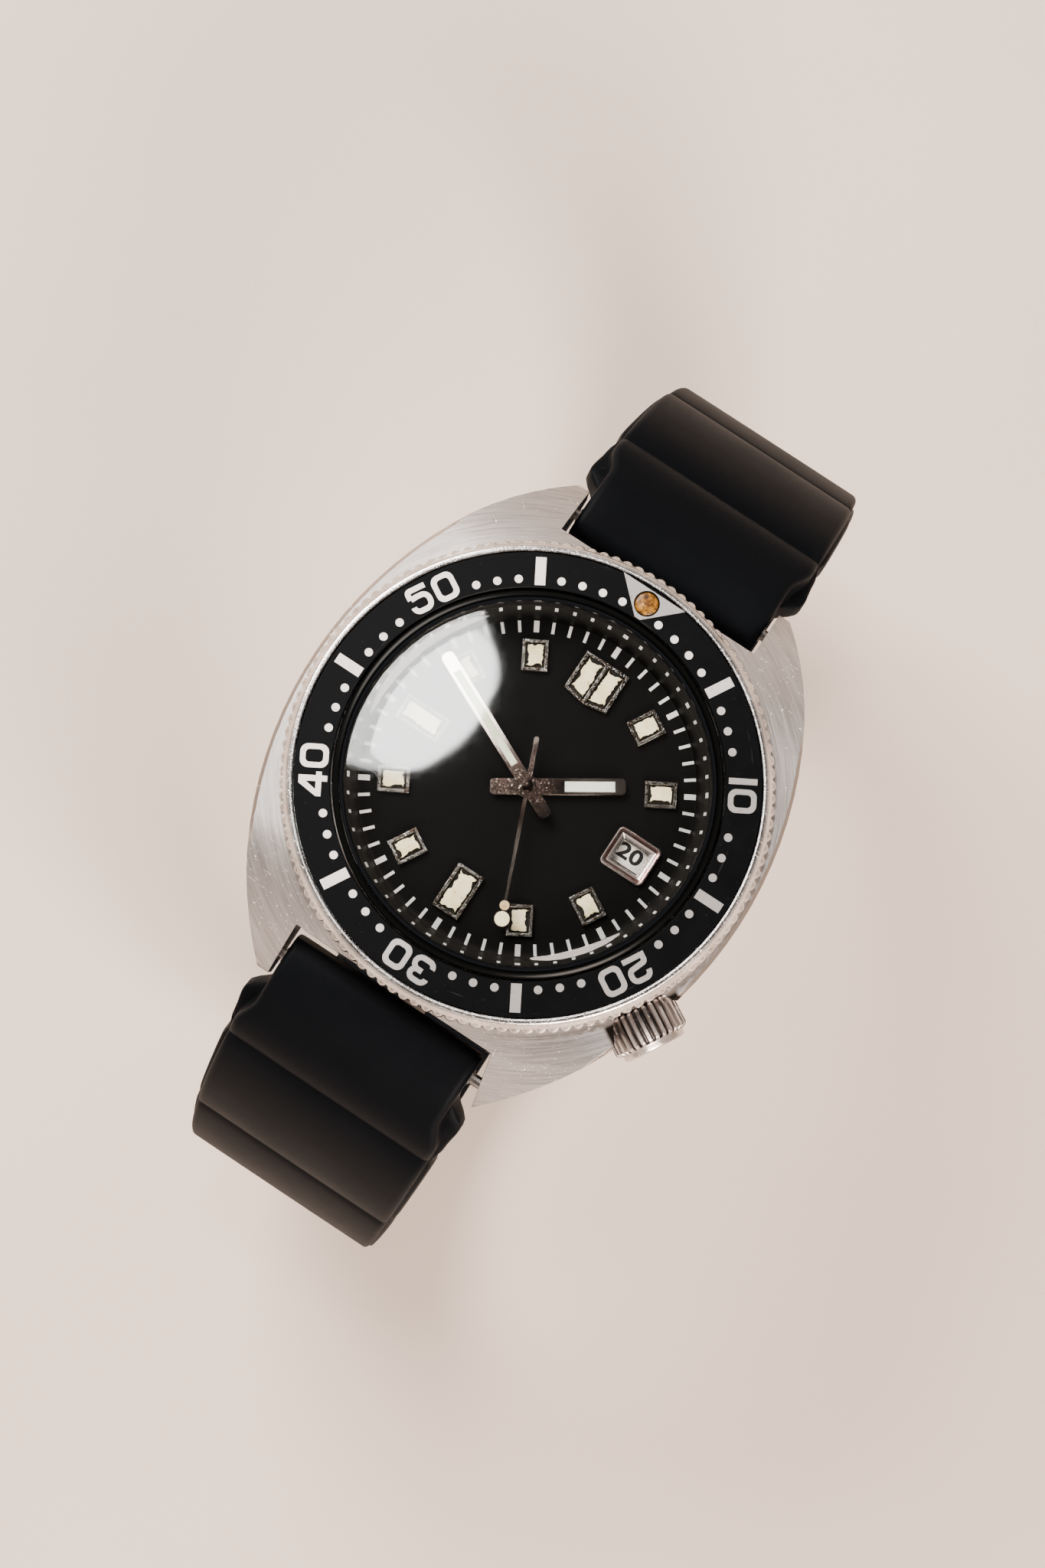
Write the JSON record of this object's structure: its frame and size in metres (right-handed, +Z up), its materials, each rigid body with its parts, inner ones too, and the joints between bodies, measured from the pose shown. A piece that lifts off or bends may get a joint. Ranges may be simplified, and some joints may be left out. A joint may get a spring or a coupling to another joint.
{
  "type": "dive watch",
  "caption": "Worn automatic dive watch with a cushion steel case, turning black bezel, crown at four o'clock, date, and a buckled ridged rubber strap.",
  "frame": {"origin": "on the surface the watch stands on, under the middle of its overall box", "axes": "+Z up out of the dial, +Y towards 12 o'clock, +X towards 3 o'clock"},
  "size_m": [0.0419, 0.0838, 0.0722],
  "materials": {
    "steel_brushed": "fine brushed, worn",
    "steel_polished": "polished, lightly scratched",
    "steel_aged": "tarnished and speckled",
    "brass": "satin",
    "insert_black": "matte black anodised with bare silver markings",
    "dial_black": "matte black",
    "rubber_black": "matte, dusty",
    "lume_aged": "aged luminous paint",
    "crystal_glass": "clear",
    "date_white": "matte white",
    "spacer_white": "moulded"
  },
  "bodies": {
    "case": {"case_middle": "steel_brushed", "case_back": "steel_polished", "case_back_gasket": "rubber_black", "crown_tube": "steel_polished", "bezel_gasket": "rubber_black", "crystal": "crystal_glass", "crystal_gasket": "rubber_black", "crystal_retaining_ring": "steel_brushed", "chapter_ring": "dial_black", "dial": "dial_black", "marker_12": "steel_aged", "marker_1": "steel_aged", "marker_2": "steel_aged", "marker_4": "steel_aged", "marker_5": "steel_aged", "marker_6": "steel_aged", "marker_7": "steel_aged", "marker_8": "steel_aged", "marker_9": "steel_aged", "marker_10": "steel_aged", "marker_11": "steel_aged", "date_frame": "steel_polished", "main_plate": "brass", "movement_ring": "spacer_white", "train_bridge": "steel_polished", "balance_cock": "steel_polished", "hairspring": "steel_polished", "rotor_bearing": "steel_polished", "spring_bar_12": "steel_polished", "spring_bar_6": "steel_polished", "strap_short": "rubber_black", "strap_long": "rubber_black", "buckle_frame": "steel_brushed", "buckle_bar": "steel_polished", "keeper_fixed": "rubber_black"},
    "bezel": {"bezel_ring": "steel_brushed", "bezel_insert": "insert_black", "bezel_pip": "lume_aged"},
    "clutch": {"clutch_wheel": "steel_polished"},
    "crown": {"crown": "steel_brushed", "winding_stem": "steel_polished", "crown_gasket": "rubber_black"},
    "seconds": {"fourth_wheel": "brass", "seconds_hand": "steel_aged"},
    "minute": {"centre_wheel": "brass", "cannon_pinion": "steel_polished", "minute_hand": "steel_aged"},
    "hour": {"hour_wheel": "brass", "hour_hand": "steel_aged"},
    "third": {"third_wheel": "brass"},
    "escape": {"escape_wheel": "steel_polished"},
    "barrel": {"barrel": "brass"},
    "motion_work": {"minute_wheel": "brass"},
    "pallets": {"pallet_fork": "steel_polished"},
    "balance": {"balance_wheel": "brass"},
    "rotor": {"rotor": "steel_polished"},
    "date": {"date_disc": "date_white"},
    "tongue": {"buckle_tongue": "steel_polished"},
    "keeper": {"keeper_free": "rubber_black"}
  },
  "joints": [
    {"name": "bezel_turn", "type": "hinge", "parent": "case", "child": "bezel", "pos_m": [0, -0.0017, 0.0695], "axis": [0, 0, 1], "continuous": true},
    {"name": "crown_turn", "type": "hinge", "parent": "case", "child": "clutch", "pos_m": [0.01645, -0.0112, 0.0649], "axis": [0.866, -0.5, 0], "continuous": true},
    {"name": "crown_pull", "type": "slide", "parent": "clutch", "child": "crown", "axis": [0.866, -0.5, 0], "range_m": [0, 0.0012]},
    {"name": "seconds_turn", "type": "hinge", "parent": "case", "child": "seconds", "pos_m": [0, -0.0017, 0.066], "axis": [0, 0, 1], "continuous": true},
    {"name": "minute_turn", "type": "hinge", "parent": "case", "child": "minute", "pos_m": [0, -0.0017, 0.066], "axis": [0, 0, 1], "continuous": true},
    {"name": "hour_turn", "type": "hinge", "parent": "case", "child": "hour", "pos_m": [0, -0.0017, 0.067], "axis": [0, 0, 1], "continuous": true},
    {"name": "third_wheel_turn", "type": "hinge", "parent": "case", "child": "third", "pos_m": [0.00364, -0.0038, 0.0635], "axis": [0, 0, 1], "continuous": true},
    {"name": "escape_wheel_turn", "type": "hinge", "parent": "case", "child": "escape", "pos_m": [-0.00276, -0.00446, 0.0635], "axis": [0, 0, 1], "continuous": true},
    {"name": "barrel_turn", "type": "hinge", "parent": "case", "child": "barrel", "pos_m": [-0.00295, 0.0034, 0.0635], "axis": [0, 0, 1], "continuous": true},
    {"name": "minute_wheel_turn", "type": "hinge", "parent": "case", "child": "motion_work", "pos_m": [0, 0.0013, 0.0665], "axis": [0, 0, 1], "continuous": true},
    {"name": "pallet_rock", "type": "hinge", "parent": "case", "child": "pallets", "pos_m": [-0.00475, -0.00656, 0.0636], "axis": [0, 0, 1], "range_deg": [-5, 5]},
    {"name": "balance_swing", "type": "hinge", "parent": "case", "child": "balance", "pos_m": [-0.0064, -0.0083, 0.0631], "axis": [0, 0, 1], "range_deg": [-220, 220], "stiffness_Nm_per_rad": 0.0000002},
    {"name": "rotor_turn", "type": "hinge", "parent": "case", "child": "rotor", "pos_m": [0, -0.0017, 0.0615], "axis": [0, 0, 1], "continuous": true},
    {"name": "date_turn", "type": "hinge", "parent": "case", "child": "date", "pos_m": [0, -0.0017, 0.0672], "axis": [0, 0, 1], "continuous": true},
    {"name": "tongue_open", "type": "hinge", "parent": "case", "child": "tongue", "pos_m": [0, 0.0033, 0.0058], "axis": [1, 0, 0], "range_deg": [0, 14]},
    {"name": "keeper_slide", "type": "slide", "parent": "case", "child": "keeper", "axis": [0, 1, 0], "range_m": [-0.0025, 0.0025]}
  ],
  "couplings": [
    {"joint": "minute_turn", "follows": "seconds_turn", "ratio": 0.016667},
    {"joint": "hour_turn", "follows": "seconds_turn", "ratio": 0.0013889},
    {"joint": "third_wheel_turn", "follows": "seconds_turn", "ratio": -0.13333},
    {"joint": "escape_wheel_turn", "follows": "seconds_turn", "ratio": -12},
    {"joint": "barrel_turn", "follows": "seconds_turn", "ratio": -0.0020833},
    {"joint": "minute_wheel_turn", "follows": "seconds_turn", "ratio": -0.0055556}
  ]
}
